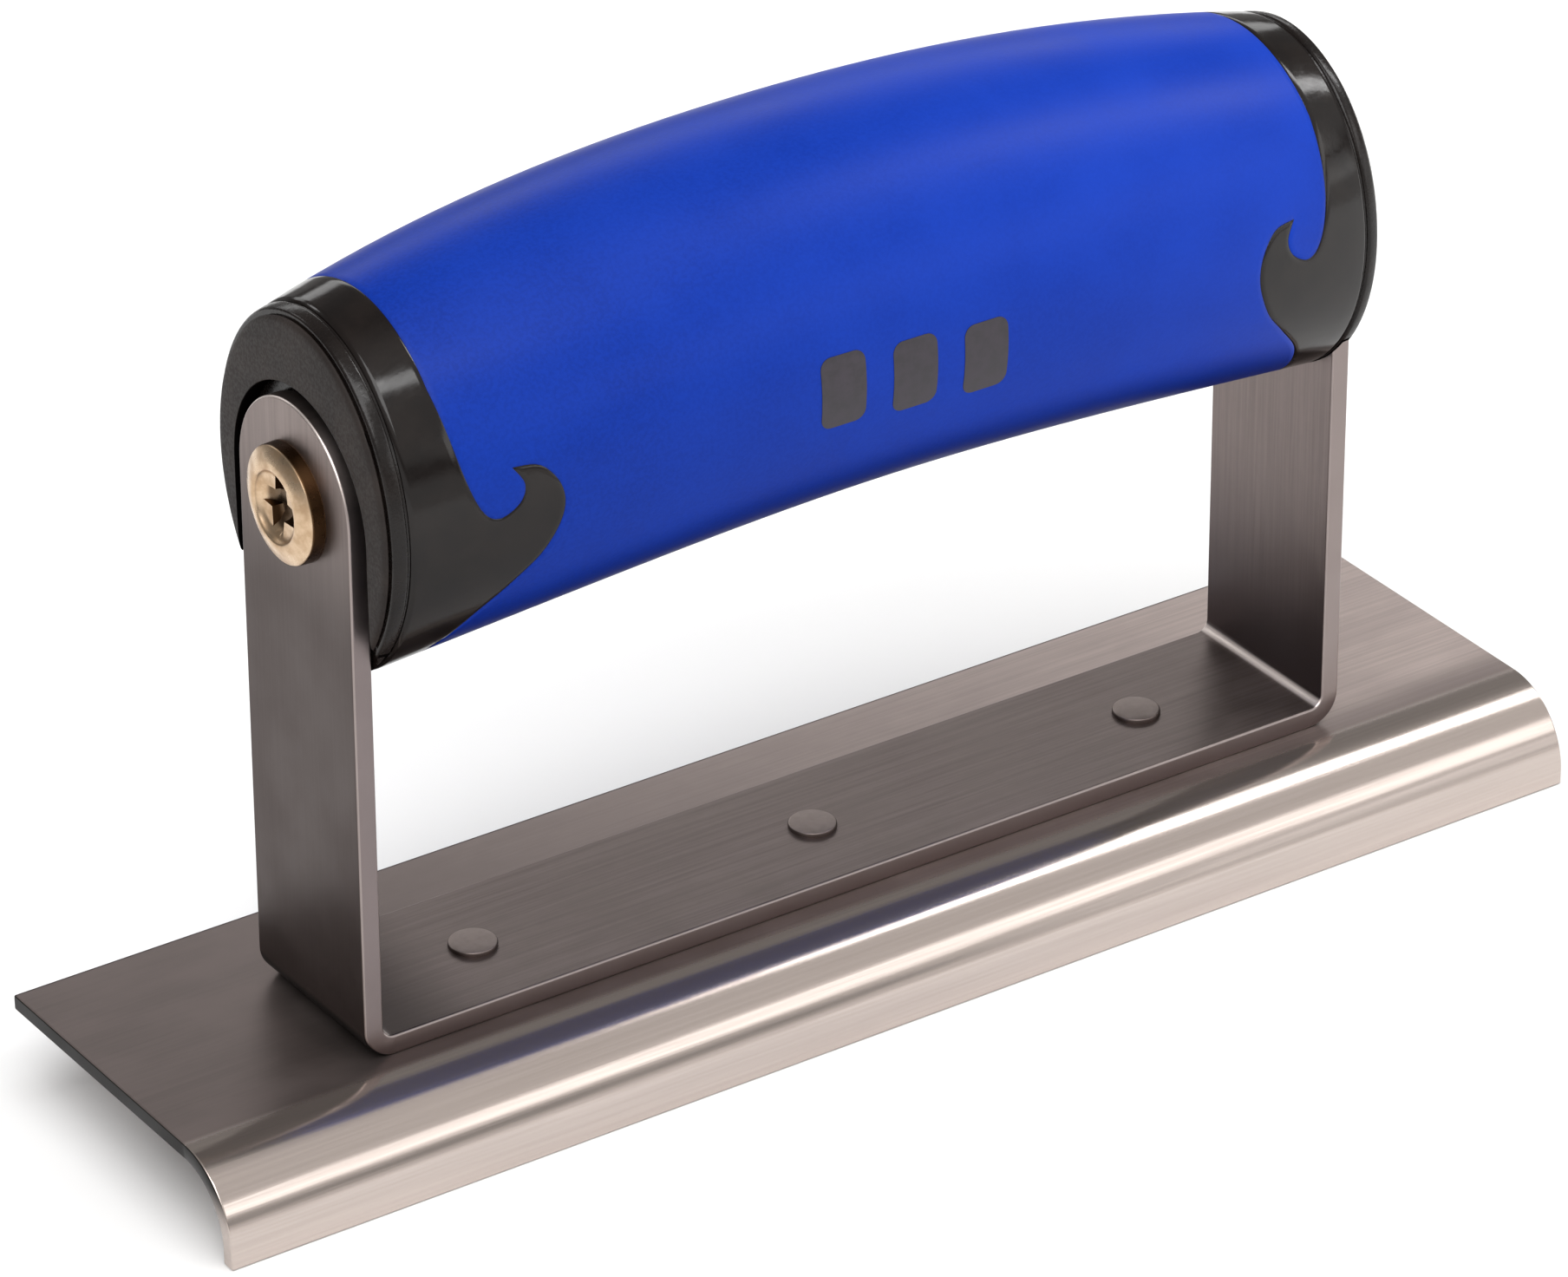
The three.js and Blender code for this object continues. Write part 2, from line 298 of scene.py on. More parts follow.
SEAM_START = -math.pi / 2 * ROUND
SEAM_END = SEAM_START + 2 * math.pi * ROUND
EDGE_STEP = 0.45
GROOVE_WIDTH = 0.2
GROOVE_DEPTH = 0.1
END_ROUNDING = 0.45
END_DIP = 0.25
END_ROWS = (0, 0.06, 0.13, 0.21, 0.3, 0.38, 0.46)  # distances in from the core's end
LAST_COLUMN = CORE_END - 0.7
AT_END = CORE_END - 0.01  # points farther out than this are on the core's end


def parting_line(side):
    """The edge between band and grip, as (x, distance round), from underneath over the rear."""
    hook = catmull([NOTCH_EDGE[-1], *HOOK_EDGE, (BAND_START, HOOK_END)], EDGE_STEP)
    notch = catmull([(BAND_START, NOTCH_START), *NOTCH_EDGE], EDGE_STEP)
    outline = hook[::-1] + notch[::-1][1:]

    def around(point):
        middle, _, half = section(point.x)
        return math.asin(max(-1, min(1, (TOP + point.y - middle) / half))) * ROUND

    low, high = around(outline[0]), around(outline[-1])
    quarter = math.pi / 2 * ROUND
    rear = line((BAND_START, -quarter), (BAND_START, low), EDGE_STEP)
    rear += [Vector((point.x, around(point))) for point in outline[1:-1]]
    rear += line((BAND_START, high), (BAND_START, quarter), EDGE_STEP)
    front = [Vector((point.x, 2 * quarter - point.y)) for point in reversed(rear)]
    return [Vector((side * point.x, point.y)) for point in rear + front[1:]]


def tree_of(points):
    tree = KDTree(len(points))
    for i, point in enumerate(points):
        tree.insert((point.x, point.y, 0), i)
    tree.balance()
    return tree


parting = {side: parting_line(side) for side in (-1, 1)}
dense = []
for edge in parting.values():
    for a, b in zip(edge, edge[1:]):
        dense += line(a, b, 0.05)[:-1]
parting_tree = tree_of(dense)


def from_parting(point):
    return parting_tree.find((point.x, point.y, 0))[2]


def surface_inset(point):
    """The small dips along the parting lines and at the core's ends."""
    near = max(0.0, 1 - from_parting(point) / GROOVE_WIDTH)
    end = max(0.0, 1 - (CORE_END - abs(point.x)) / END_ROUNDING)
    return GROOVE_DEPTH * near**2 + END_DIP * end**2


def handle_net(spacing, rows):
    """Triangles over the unrolled surface, labelled -1, 0 or 1 for left band, grip and right band.

    Spacing is the usual distance between points, and rows are the distances of the closer rows
    on both sides of each parting line.
    """
    points, fixed = [], []

    def add(new, chained=False):
        start = len(points)
        points.extend(Vector(point) for point in new)
        if chained:
            fixed.extend((i, i + 1) for i in range(start, len(points) - 1))
        return range(start, len(points))

    columns = [0.0]
    while columns[-1] + spacing < LAST_COLUMN:
        columns.append(columns[-1] + spacing)
    near_ends = [CORE_END - back for back in END_ROWS]
    near_band = [BAND_START + offset * sign for offset in (*rows, 0) for sign in (-1, 1)]
    clear = max(rows) + 0.4 * spacing
    seam = {round(side * x, 5) for x in columns if abs(x - BAND_START) > clear for side in (-1, 1)}
    seam |= {round(side * x, 5) for x in near_ends + near_band for side in (-1, 1)}
    seam = sorted(seam)
    first_seam = add([(x, SEAM_START) for x in seam], True)
    second_seam = add([(x, SEAM_END) for x in seam], True)

    count = math.ceil((SEAM_END - SEAM_START) / spacing)
    levels = [SEAM_START + (SEAM_END - SEAM_START) * i / count for i in range(count + 1)]
    for side in (-1, 1):
        chain = add([(side * CORE_END, level) for level in levels[1:-1]], True)
        x_end = round(side * CORE_END, 5)
        fixed.append((first_seam[seam.index(x_end)], chain[0]))
        fixed.append((chain[-1], second_seam[seam.index(x_end)]))
        for x in near_ends[1:]:
            add([(side * x, level) for level in levels[1:-1]])
        edge = parting[side]
        band = round(side * BAND_START, 5)
        chain = add(edge[1:-1], True)
        fixed.append((first_seam[seam.index(band)], chain[0]))
        fixed.append((chain[-1], second_seam[seam.index(band)]))
        for distance in rows:
            for sign in (-1, 1):
                for a, b in zip(edge, edge[1:]):
                    if (b - a).length < 1e-6:
                        continue
                    along = (b - a).normalized()
                    point = (a + b) / 2 + sign * distance * Vector((-along.y, along.x))
                    inside = SEAM_START + 0.1 < point.y < SEAM_END - 0.1
                    # In a tight bend, points that come too near the line again are left out.
                    if inside and from_parting(point) > 0.95 * distance:
                        add([point])
    for number, x in enumerate(sorted({side * x for x in columns for side in (-1, 1)})):
        shift = 0.5 * (number % 2)
        for k in range(1, count):
            level = SEAM_START + (SEAM_END - SEAM_START) * (k + shift - 0.25) / count
            point = Vector((x, level))
            if from_parting(point) > clear:
                add([point])

    same = {second_seam[i]: first_seam[i] for i in range(len(seam))}
    # Triangles of no area along the straight ends would close the core's sockets.
    triangles = [t for t in triangulate(points, fixed) if any(abs(points[c].x) < AT_END for c in t)]
    walls = {tuple(sorted(pair)) for pair in fixed}
    owners = {}
    for number, triangle in enumerate(triangles):
        for a, b in zip(triangle, triangle[1:] + triangle[:1]):
            owners.setdefault(tuple(sorted((a, b))), []).append(number)
    label = [0] * len(triangles)
    for side in (-1, 1):
        reach = [n for n, t in enumerate(triangles) if any(side * points[c].x > AT_END for c in t)]
        while reach:
            number = reach.pop()
            if label[number]:
                continue
            label[number] = side
            triangle = triangles[number]
            for a, b in zip(triangle, triangle[1:] + triangle[:1]):
                pair = tuple(sorted((a, b)))
                if pair not in walls:
                    reach += [n for n in owners[pair] if not label[n]]
    return points, triangles, label, same, levels


def patch(shell, net, wanted, inset_at):
    """Adds the net's triangles of one label, lifted onto the handle with the given inset."""
    points, triangles, label, same, _ = net
    placed = {}
    for triangle, mark in zip(triangles, label):
        if mark not in wanted:
            continue
        corners = []
        for corner in triangle:
            corner = same.get(corner, corner)
            if corner not in placed:
                point = points[corner]
                placed[corner] = on_handle(point.x, point.y / ROUND, inset_at(point))
            corners.append(placed[corner])
        shell.face(*corners)


def wall(shell, side, outer_inset, inner_inset):
    """The band between two insets along one parting line."""
    edge = parting[side][:-1]
    outer = [on_handle(point.x, point.y / ROUND, outer_inset) for point in edge]
    inner = [on_handle(point.x, point.y / ROUND, inner_inset) for point in edge]
    shell.bridge(outer, inner)


fine = handle_net(1.3, (0.07, 0.2, 0.6))  # outside surfaces
coarse = handle_net(4.0, (1.0,))  # the hidden surfaces between core and grip


def make_grip():
    shell = Shell()
    inner = GRIP_THICKNESS - CLEARANCE
    patch(shell, fine, (0,), surface_inset)
    patch(shell, coarse, (0,), lambda _: inner)
    for side in (-1, 1):
        wall(shell, side, GROOVE_DEPTH, inner)
    return shell.build("grip_sleeve_moulding")


def circle_row(x, radius, angles):
    return [Vector((x, radius * math.cos(angle), AXIS + radius * math.sin(angle))) for angle in angles]


def make_core():
    shell = Shell()
    patch(shell, fine, (-1, 1), surface_inset)
    patch(shell, coarse, (0,), lambda _: GRIP_THICKNESS)
    *_, levels = fine
    angles = [level / ROUND for level in levels[:-1]]
    inset = SPIGOT_INSET - CLEARANCE
    radius = BOSS_RADIUS + CLEARANCE
    for side in (-1, 1):
        wall(shell, side, GROOVE_DEPTH, GRIP_THICKNESS)
        end = side * CORE_END
        bottom = side * (SPIGOT_END - CLEARANCE)
        last = side * (BOSS_END - CLEARANCE)
        rows = [
            [on_handle(end, angle, surface_inset(Vector((end, 0)))) for angle in angles],
            [on_handle(end, angle, inset) for angle in angles],
            [on_handle(bottom, angle, inset) for angle in angles],
            circle_row(bottom, radius, angles),
            circle_row(last, radius, angles),
        ]
        shell.skin(rows)
        shell.fan(rows[-1], Vector((last, 0, AXIS)))
    return shell.build("handle_core_moulding")


# ---- end caps ----

# (distance out from CAP_START, inset): a rebate over the core's end, a ring, a groove and a slightly
# domed end.
RING = [
    (0, SPIGOT_INSET), (0, 0.9), (-0.26, 0.9), (-0.26, 0.34), (-0.05, 0.3), (0.04, 0.14), (0.16, 0.04),
    (0.32, 0), (0.7, 0), (1.1, 0), (1.22, 0.04), (1.32, 0.12), (1.38, 0.24), (1.32, 0.62), (1.36, 0.72),
    (1.46, 0.6), (1.62, 0.5), (1.8, 0.62), (1.9, 0.82), (1.96, 1.1), (2, 1.7), (2.04, 3), (2.09, 5),
    (2.13, 7.5), (2.16, 10), (2.18, 12.5),
]
CAP_SEGMENTS = 128
ARCH_SEGMENTS = 48
POCKET_BOTTOM = TOP + 20  # below the cap, so that the pocket is open there
BORE_START, BORE_END = 40, 60


def arch_row(x, half_width, top, bottom):
    """An upright slot with a round top, in the plane x."""
    centre = top - half_width
    arc = [math.pi * i / ARCH_SEGMENTS for i in range(ARCH_SEGMENTS + 1)]
    row = [Vector((x, half_width * math.cos(a), centre + half_width * math.sin(a))) for a in arc]
    return [Vector((x, half_width, bottom))] + row + [Vector((x, -half_width, bottom))]


def make_cap(side):
    name = "end_cap_moulding_" + ("left" if side < 0 else "right")
    angles = [2 * math.pi * i / CAP_SEGMENTS for i in range(CAP_SEGMENTS)]
    shell = Shell()
    rows = [
        circle_row(side * BOSS_END, BOSS_RADIUS, angles),
        circle_row(side * SPIGOT_END, BOSS_RADIUS, angles),
        [on_handle(side * SPIGOT_END, angle, SPIGOT_INSET) for angle in angles],
    ]
    rows += [[on_handle(side * (CAP_START + out), angle, inset) for angle in angles] for out, inset in RING]
    shell.skin(rows)
    shell.fan(rows[0], Vector((side * BOSS_END, 0, AXIS)))
    shell.fan(rows[-1], sum(rows[-1], Vector()) / CAP_SEGMENTS)
    cap = shell.build(name)

    pocket = Shell()
    flare = [(POCKET_FLOOR, 0), (CAP_FACE - 0.35, 0), (CAP_FACE - 0.15, 0.08)]
    flare += [(CAP_FACE, 0.25), (CAP_FACE + 2, 2.2)]
    pocket.tube([
        arch_row(side * x, POCKET_HALF_WIDTH + grow, POCKET_TOP + grow, POCKET_BOTTOM) for x, grow in flare
    ])
    profile = [(0, BORE_START), (INSERT_BORE, BORE_START), (INSERT_BORE, BORE_END), (0, BORE_END)]
    bore = turned("bore", profile, 48, about_x(side, 0))
    cut(cap, pocket.build("pocket"), bore)
    return cap


# ---- blade ----

BLADE_FLAT = blade_high.y - blade_low.y - ROLL_RADIUS
ROLL_MIDDLE = ROLL_RADIUS - SHEET / 2
ROLL_LENGTH = ROLL_MIDDLE * math.pi / 2
BLADE_GIRTH = BLADE_FLAT + ROLL_LENGTH + TOP - ROLL_RADIUS
EDGE_ROUNDING = 0.3
SHEARED_ROUNDING = 0.2  # at the blade's two ends
ROLL_STEPS = 30
BLADE_STEPS = 30
TAIL_SLACK = 0.25  # clearance round the rivets' countersunk tails


def blade_path(girth):
    """Middle of the blade's sheet in (Y, Z) and its outward normal, at a distance from the rear edge."""
    if girth < BLADE_FLAT:
        return Vector((blade_high.y - girth, TOP - SHEET / 2)), Vector((0, 1))
    centre = Vector((blade_low.y + ROLL_RADIUS, TOP - ROLL_RADIUS))
    turn = min((girth - BLADE_FLAT) / ROLL_MIDDLE, math.pi / 2)
    normal = Vector((-math.sin(turn), math.cos(turn)))
    past = max(0.0, girth - BLADE_FLAT - ROLL_LENGTH)
    return centre + ROLL_MIDDLE * normal + Vector((0, -past)), normal


def edge_steps(rounding):
    """Distances in from a rounded edge, and how far the faces draw in there."""
    quarter = [math.pi / 2 * i / 4 for i in range(5)]
    return [(rounding * (1 - math.cos(a)), rounding * (1 - math.sin(a))) for a in quarter]


def blade_row(x, inset):
    """The blade's upper and lower outlines at x, from the rear edge to the lip's lower edge."""
    edges = edge_steps(EDGE_ROUNDING)
    stations = [*edges]
    stations += [(girth, 0.0) for girth in (2, 5, 10, 15, 20, 25, 28, 30)]
    stations += [(BLADE_FLAT + ROLL_LENGTH * i / ROLL_STEPS, 0.0) for i in range(ROLL_STEPS + 1)]
    stations += [(BLADE_GIRTH - distance, draw) for distance, draw in reversed(edges)]
    outer, inner = [], []
    for girth, draw in stations:
        squeezed = inset + girth * (BLADE_GIRTH - 2 * inset) / BLADE_GIRTH
        middle, normal = blade_path(squeezed)
        half = SHEET / 2 - max(draw, inset)
        for row, sign in ((outer, 1), (inner, -1)):
            point = middle + sign * half * normal
            row.append(Vector((x, point.x, point.y)))
    return outer, inner


def make_blade():
    shell = Shell()
    edges = edge_steps(SHEARED_ROUNDING)
    end = blade_high.x
    columns = [(-end + distance, draw) for distance, draw in edges]
    columns += [(-end + 2 * end * i / BLADE_STEPS, 0.0) for i in range(1, BLADE_STEPS)]
    columns += [(end - distance, draw) for distance, draw in reversed(edges)]
    pairs = [blade_row(x, draw) for x, draw in columns]
    shell.skin([outer + inner[::-1] for outer, inner in pairs])
    for outer, inner in (pairs[0], pairs[-1]):
        shell.bridge(outer, inner, closed=False)
    blade = shell.build("blade_sheet")
    tail = RIVET_HEAD + TAIL_SLACK
    hole = [(0, SOLE - 1), (tail, SOLE - 1), (tail, SOLE), (RIVET_HOLE, SOLE + RIVET_TAIL_DEPTH)]
    hole += [(RIVET_HOLE, TOP + 1), (0, TOP + 1)]
    for x in RIVET_XS:
        cut(blade, turned("hole", hole, 40, about_z(x)))
    return blade


# ---- bracket ----

STRAP_MIDDLE = BEND_INSIDE + STRAP / 2
EAR_LENGTH = EAR_TOP - TOP - BEND_INSIDE - STRAP
FLOOR_LENGTH = 2 * (SPAN - BEND_INSIDE - STRAP)
BEND_LENGTH = STRAP_MIDDLE * math.pi / 2
STRAP_LENGTH = 2 * (EAR_LENGTH + BEND_LENGTH) + FLOOR_LENGTH
STRAP_ROUNDING = 0.28
HOLE_SEGMENTS = 40


def on_strap(along, y, lift):
    """A point of the bent strap.

    Along runs from the left ear's top to the right's, and lift from the strap's middle towards the handle.
    """
    mirrored = along > STRAP_LENGTH / 2
    if mirrored:
        along = STRAP_LENGTH - along
    bend_x = -SPAN + BEND_INSIDE + STRAP
    bend_z = TOP + BEND_INSIDE + STRAP
    if along < EAR_LENGTH:
        x, z = bend_x - STRAP_MIDDLE + lift, EAR_TOP - along
    elif along < EAR_LENGTH + BEND_LENGTH:
        turn = (along - EAR_LENGTH) / STRAP_MIDDLE
        radius = STRAP_MIDDLE - lift
        x, z = bend_x - radius * math.cos(turn), bend_z - radius * math.sin(turn)
    else:
        x, z = bend_x + along - EAR_LENGTH - BEND_LENGTH, bend_z - STRAP_MIDDLE + lift
    return Vector((-x if mirrored else x, y, z))


def strap_stations():
    """Places along one side of the strap, close together where it bends."""
    half = [STRAP_HALF + (EAR_LENGTH - STRAP_HALF) * i / 16 for i in range(17)]
    half += [EAR_LENGTH + BEND_LENGTH * i / 12 for i in range(1, 13)]
    half += [EAR_LENGTH + BEND_LENGTH + FLOOR_LENGTH / 2 * i / 13 for i in range(1, 14)]
    return half + [STRAP_LENGTH - along for along in reversed(half[:-1])]


def strap_outline(inset):
    """The flat strap's outline in (along, Y), with round ends."""
    radius = STRAP_HALF - inset
    sides = strap_stations()
    turn = [math.pi * i / 40 for i in range(1, 40)]
    near = [Vector((STRAP_HALF - radius * math.sin(a), -radius * math.cos(a))) for a in turn]
    far = [Vector((STRAP_LENGTH - STRAP_HALF + radius * math.sin(a), radius * math.cos(a))) for a in turn]
    lower = [Vector((along, -radius)) for along in reversed(sides)]
    upper = [Vector((along, radius)) for along in sides]
    return upper + far + lower + near


def hole_outline(along, radius):
    turns = [2 * math.pi * i / HOLE_SEGMENTS for i in range(HOLE_SEGMENTS)]
    return [Vector((along + radius * math.cos(a), radius * math.sin(a))) for a in turns]


def make_bracket():
    screw_at = EAR_TOP - AXIS
    holes = [(screw_at, SCREW_HOLE), (STRAP_LENGTH - screw_at, SCREW_HOLE)]
    holes += [(STRAP_LENGTH / 2 + x, RIVET_HOLE) for x in RIVET_XS]

    points = strap_outline(STRAP_ROUNDING)
    rings = [len(points)]
    for along, radius in holes:
        ring = hole_outline(along, radius)
        rings.append(len(ring))
        points += ring
    fixed, start = [], 0
    for count in rings:
        fixed += [(start + i, start + (i + 1) % count) for i in range(count)]
        start += count
    for along in strap_stations()[1:-1]:
        for y in (-6, -3, 0, 3, 6):
            point = Vector((along, y))
            if all((point - Vector((at, 0))).length > radius + 0.6 for at, radius in holes):
                points.append(point)

    def inside(point):
        along = min(point.x, STRAP_LENGTH - point.x)
        from_ear = Vector((STRAP_HALF - along, point.y)).length
        if along < STRAP_HALF and from_ear > STRAP_HALF - STRAP_ROUNDING:
            return False
        return all((point - Vector((at, 0))).length > radius for at, radius in holes)

    shell = Shell()
    for triangle in triangulate(points, fixed):
        if inside(sum((points[corner] for corner in triangle), Vector((0, 0))) / 3):
            for lift in (-STRAP / 2, STRAP / 2):
                shell.face(*(on_strap(points[corner].x, points[corner].y, lift) for corner in triangle))

    levels = [(draw, STRAP / 2 - distance) for distance, draw in edge_steps(STRAP_ROUNDING)]
    levels += [(inset, -lift) for inset, lift in reversed(levels)]
    shell.skin([[on_strap(p.x, p.y, lift) for p in strap_outline(inset)] for inset, lift in levels])
    for along, radius in holes:
        ring = hole_outline(along, radius)
        shell.bridge(*([on_strap(p.x, p.y, lift) for p in ring] for lift in (-STRAP / 2, STRAP / 2)))
    return shell.build("bracket_strap")


# ---- rivets and screws ----

RIVET_ROUNDING = 0.2
SCREW_WALL = 1.2  # height of the head's upright side
SCREW_ROUNDING = 0.3
RECESS_WING = 3.25
RECESS_SLOT = 0.9  # half width
RECESS_TURN = 0.12
# (depth below the head's top, scale) of the recess's outlines; the first is clear of the head.
RECESS_LEVELS = ((-0.6, 1.12), (0.4, 0.94), (1.3, 0.72), (1.7, 0.42))


def make_rivet(name, x):
    floor = TOP + STRAP
    top = rivet_high.z
    profile = [(0, SOLE), (RIVET_HEAD - 0.1, SOLE), (RIVET_HEAD, SOLE + 0.06)]
    profile += [(RIVET_SHANK, SOLE + RIVET_TAIL_DEPTH), (RIVET_SHANK, floor), (RIVET_HEAD - 0.04, floor)]
    for a in (0, 0.4, 0.8, 1.2, 1.57):
        radius = RIVET_HEAD - 0.24 + RIVET_ROUNDING * math.cos(a)
        profile.append((radius, top - 0.26 + RIVET_ROUNDING * math.sin(a)))
    profile += [(1.5, top - 0.04), (0.8, top), (0, top)]
    return turned(name, profile, 64, about_z(x))


def cross_outline(x, scale):
    """The recess's outline in the plane x: four wings with cut corners."""
    wing, slot = RECESS_WING * scale, RECESS_SLOT * (0.55 + 0.45 * scale)
    corners = [(slot * 1.5, -slot), (wing * 0.94, -slot), (wing, -slot * 0.45)]
    corners += [(wing, slot * 0.45), (wing * 0.94, slot)]
    row = []
    for quarter in range(4):
        a = quarter * math.pi / 2 + RECESS_TURN
        for out, across in corners:
            y = out * math.cos(a) - across * math.sin(a)
            row.append(Vector((x, y, AXIS + out * math.sin(a) + across * math.cos(a))))
    return row


def make_screw(side):
    name = "screw_machined_" + ("left" if side < 0 else "right")
    head = screw_high.z - AXIS
    dome = screw_high.x - SPAN
    profile = [(0, -SCREW_LENGTH), (SCREW_SHANK - 0.4, -SCREW_LENGTH), (SCREW_SHANK, 0.4 - SCREW_LENGTH)]
    profile += [(SCREW_SHANK, 0), (head - 0.1, 0), (head, 0.12), (head - 0.05, SCREW_WALL)]
    for a in (0.3, 0.7, 1.1):
        radius = head - 0.35 + SCREW_ROUNDING * math.cos(a)
        profile.append((radius, SCREW_WALL + SCREW_ROUNDING * math.sin(a)))
    # The rim, then the dish inside it.
    rim = [(4.7, 0.3), (4.3, 0.12), (3.9, 0.02), (3.65, 0), (3.5, 0.06)]
    dish = [(3.38, 0.22), (3.15, 0.5), (2.7, 0.68), (1.2, 0.74), (0, 0.74)]
    profile += [(radius, dome - depth) for radius, depth in rim + dish]
    screw = turned(name, profile, 72, about_x(side, SPAN))

    recess = Shell()
    recess.tube([cross_outline(side * (SPAN + dome - depth), scale) for depth, scale in RECESS_LEVELS])
    cut(screw, recess.build("recess"))
    return screw


# ---- generic printed marks on the grip ----

MARK_MIDDLES = (-9.6, -1.8, 6.0)
MARK_HALF_WIDTH = 2.4
MARK_CORNER = 1.1
MARK_LOW = TOP + 55.6
MARK_HIGH = TOP + 62.6
MARK_FALL = 0.07  # how much lower each mark sits for its place to the right
MARK_INSETS = (0.03, -0.05)  # the ink's underside and its outside


def mark_outline(middle, low, high):
    centres = [(1, high), (-1, high), (-1, low), (1, low)]
    turns = []
    for quarter, (across, level) in enumerate(centres):
        x = middle + across * (MARK_HALF_WIDTH - MARK_CORNER)
        z = level + (MARK_CORNER if level == low else -MARK_CORNER)
        for i in range(7):
            a = math.pi / 2 * (quarter + i / 6)
            turns.append(Vector((x + MARK_CORNER * math.cos(a), z + MARK_CORNER * math.sin(a))))
    outline = []
    for a, b in zip(turns, turns[1:] + turns[:1]):
        outline += line(a, b, 0.7)[:-1]
    return outline


def on_grip_front(point, inset):
    """The point of the grip's front at (x, height)."""
    centre, _, half = section(point.x)
    return on_handle(point.x, math.pi - math.asin((point.y - centre) / half), inset)


def make_marks():
    """Three plain upright bars with round corners, printed on the front of the grip."""
    shell = Shell()
    for middle in MARK_MIDDLES:
        low, high = MARK_LOW - MARK_FALL * middle, MARK_HIGH - MARK_FALL * middle
        outline = mark_outline(middle, low, high)
        count = len(outline)
        fixed = [(i, (i + 1) % count) for i in range(count)]
        columns = [middle + offset for offset in (-1.6, -0.8, 0, 0.8, 1.6)]
        points = outline + [Vector((x, low + (high - low) * k / 8)) for x in columns for k in range(1, 8)]
        for triangle in triangulate(points, fixed):
            for inset in MARK_INSETS:
                shell.face(*(on_grip_front(points[corner], inset) for corner in triangle))
        shell.bridge(*([on_grip_front(point, inset) for point in outline] for inset in MARK_INSETS))
    return shell.build("grip_marks")


# ---- materials ----


def add(tree, kind, inputs=None, **settings):
    node = tree.nodes.new("ShaderNode" + kind)
    for key, value in settings.items():
        setattr(node, key, value)
    for key, value in (inputs or {}).items():
        if isinstance(value, bpy.types.NodeSocket):
            tree.links.new(value, node.inputs[key])
        else:
            node.inputs[key].default_value = value
    return node


def smooth_ramp(tree, value, low, high, to_low, to_high):
    inputs = {0: value, 1: low, 2: high, 3: to_low, 4: to_high}
    return add(tree, "MapRange", inputs, interpolation_type="SMOOTHSTEP").outputs[0]


def combine(tree, operation, first, second):
    return add(tree, "Math", {0: first, 1: second}, operation=operation).outputs[0]


def linear(*display):
    """A colour given in display values from 0 to 255."""
    return (*(((c / 255 + 0.055) / 1.055) ** 2.4 if c > 10 else c / 255 / 12.92 for c in display), 1)


class Look:
    """A node material with object coordinates in metres and a Principled shader."""

    def __init__(self, name, **constants):
        self.material = bpy.data.materials.new(name)
        self.material.use_nodes = True
        self.tree = self.material.node_tree
        self.tree.nodes.clear()
        self.shader = add(self.tree, "BsdfPrincipled")
        for key, value in constants.items():
            self.shader.inputs[key.replace("_", " ")].default_value = value
        output = add(self.tree, "OutputMaterial")
        self.tree.links.new(self.shader.outputs["BSDF"], output.inputs["Surface"])
        self.place = add(self.tree, "TexCoord").outputs["Object"]

    def noise(self, scale, detail=3.0, roughness=0.55, seed=0.0):
        """Noise with one scale per axis, in cycles a metre."""
        shift = (seed, seed * 1.7, seed * 0.6)
        stretched = add(self.tree, "Mapping", {0: self.place, "Scale": scale, "Location": shift}).outputs[0]
        settings = {"Vector": stretched, "Scale": 1.0, "Detail": detail, "Roughness": roughness}
        return add(self.tree, "TexNoise", settings).outputs[0]

    def spread(self, value, low, high, to_low=0.0, to_high=1.0):
        return smooth_ramp(self.tree, value, low, high, to_low, to_high)

    def math(self, operation, first, second=0.0):
        return combine(self.tree, operation, first, second)

    def product(self, *factors):
        result = factors[0]
        for factor in factors[1:]:
            result = self.math("MULTIPLY", result, factor)
        return result

    def mix(self, factor, first, second):
        node = add(self.tree, "Mix", data_type="RGBA", blend_type="MIX")
        for socket, value in ((node.inputs[0], factor), (node.inputs[6], first), (node.inputs[7], second)):
            if isinstance(value, bpy.types.NodeSocket):
                self.tree.links.new(value, socket)
            else:
                socket.default_value = value
        return node.outputs[2]

    def blend(self, factor, first, second):
        """The first number where the factor is 0, and the second where it is 1."""
        rest = self.math("SUBTRACT", 1.0, factor)
        return self.math("ADD", self.product(factor, second), self.product(rest, first))

    def axis(self, name):
        return add(self.tree, "SeparateXYZ", {0: self.place}).outputs[name]

    def facing(self, name):
        """The normal's part along one axis."""
        normal = add(self.tree, "NewGeometry").outputs["Normal"]
        return add(self.tree, "SeparateXYZ", {0: normal}).outputs[name]

    def size_of(self, value):
        return self.math("ABSOLUTE", value)

    def colour(self, value):
        self.tree.links.new(value, self.shader.inputs["Base Color"])

    def rough(self, value):
        self.tree.links.new(value, self.shader.inputs["Roughness"])

    def shine(self, below, above, scale=1.0):
        """Specular level, falling off towards the underside, where handling has dulled the surface."""
        level = self.product(self.spread(self.facing("Z"), -0.75, 0.35, below, above), scale)
        self.tree.links.new(level, self.shader.inputs["Specular IOR Level"])

    def bump(self, height, strength, distance):
        """Small relief: distance is the height in metres of the pattern's full swing."""
        node = add(self.tree, "Bump", {"Strength": strength, "Distance": distance, "Height": height})
        self.tree.links.new(node.outputs[0], self.shader.inputs["Normal"])


